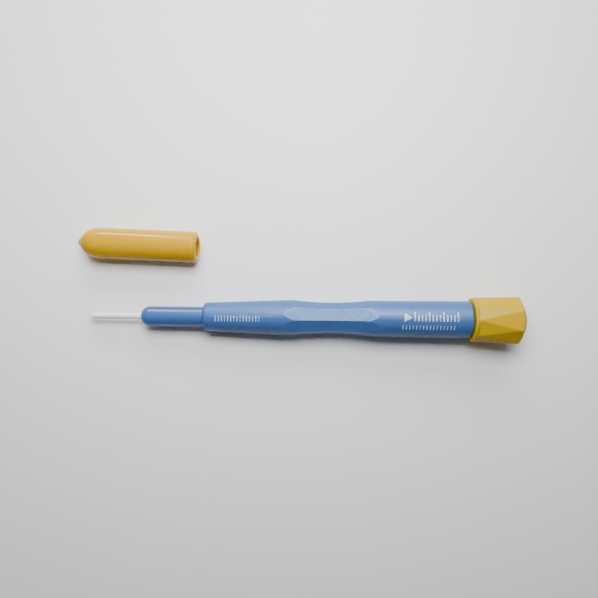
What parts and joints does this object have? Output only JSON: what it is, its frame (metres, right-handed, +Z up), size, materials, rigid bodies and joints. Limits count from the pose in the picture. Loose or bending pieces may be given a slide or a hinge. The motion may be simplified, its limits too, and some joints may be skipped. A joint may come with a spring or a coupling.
{
  "type": "alignment screwdriver",
  "caption": "Non-metallic alignment screwdriver: ceramic flat blade, waisted moulded handle, faceted swivel end cap, and a loose vinyl cap for the blade lying beside it.",
  "frame": {"origin": "under the middle of the whole set's box, on the bench", "axes": "+X along the tool from the blade to the swivel cap, +Y towards the blade cap, +Z up from the bench"},
  "size_m": [0.1211, 0.0305, 0.0126],
  "materials": {
    "handle_plastic": "satin moulded, light blue",
    "white_ceramic": "ground zirconia, satin",
    "pin_plastic": "natural acetal",
    "swivel_plastic": "satin moulded, lemon yellow",
    "cap_vinyl": "glossy dip-moulded soft vinyl, golden yellow"
  },
  "bodies": {
    "tool": {"handle": "handle_plastic", "ceramic_blade": "white_ceramic", "pivot_pin": "pin_plastic"},
    "swivel": {"swivel_cap": "swivel_plastic"},
    "cover": {"blade_cap": "cap_vinyl"}
  },
  "joints": [
    {"name": "swivel_cap_turn", "type": "hinge", "parent": "tool", "child": "swivel", "pos_m": [0.04694, -0.00898, 0.00599], "axis": [0.9997, 0, 0.0236], "continuous": true},
    {"name": "blade_cap_slide", "type": "slide", "parent": "tool", "child": "cover", "axis": [-0.92, -0.392, 0], "range_m": [0, 0.05]}
  ]
}
